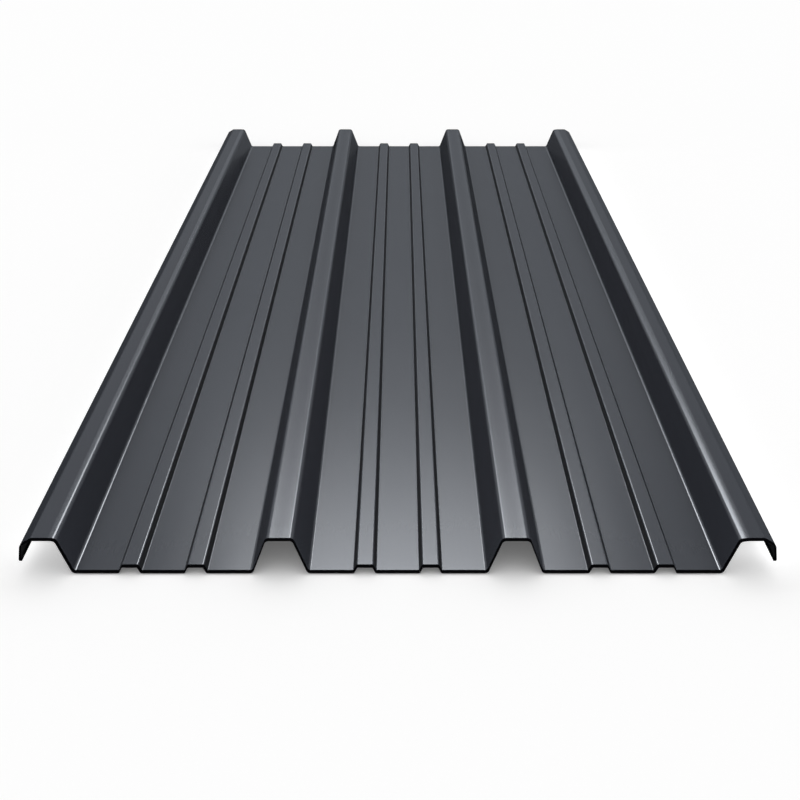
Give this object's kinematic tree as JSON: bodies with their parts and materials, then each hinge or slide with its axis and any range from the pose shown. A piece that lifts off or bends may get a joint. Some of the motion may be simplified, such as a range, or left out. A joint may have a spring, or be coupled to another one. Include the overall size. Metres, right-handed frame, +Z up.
{
  "type": "corrugated metal sheet",
  "caption": "Roll-formed trapezoidal roofing and cladding sheet of dark grey coated steel: raised ribs, flat pans with low stiffening swages, and a turned-down lap lip along each long edge.",
  "frame": {"origin": "middle of the sheet, on the plane that the undersides of its pans rest on", "axes": "+X across the ribs, +Y along the ribs, +Z up from the pans to the rib crests"},
  "size_m": [0.8018, 1.8, 0.041],
  "materials": {
    "coated_steel": "satin anthracite grey coil coating over galvanised steel"
  },
  "bodies": {
    "root": {"corrugated_sheet": "coated_steel"}
  },
  "joints": []
}
